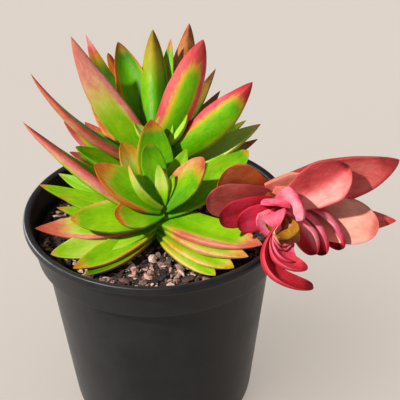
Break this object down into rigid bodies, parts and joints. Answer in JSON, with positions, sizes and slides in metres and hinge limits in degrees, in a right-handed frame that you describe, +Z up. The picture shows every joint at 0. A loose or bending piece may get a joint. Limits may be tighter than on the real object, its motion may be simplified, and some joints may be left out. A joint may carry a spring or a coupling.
{
  "type": "potted succulent",
  "caption": "Potted campfire crassula: green heads of thick pointed leaves and a red head that leans over the rim of a tapered nursery pot filled with soil.",
  "frame": {"origin": "centre of the pot's underside, on the surface it stands on", "axes": "+Z up along the pot's axis, +X towards the side where the red head leans over the rim, -Y towards the viewer of the picture"},
  "size_m": [0.1789, 0.1392, 0.1909],
  "materials": {
    "black_plastic": "satin",
    "compost": "matte",
    "green_leaf": "satin",
    "red_leaf": "satin"
  },
  "bodies": {
    "root": {"pot": "black_plastic", "soil": "compost", "front_green_head": "green_leaf", "rear_green_head": "green_leaf", "red_head": "red_leaf"}
  },
  "joints": []
}
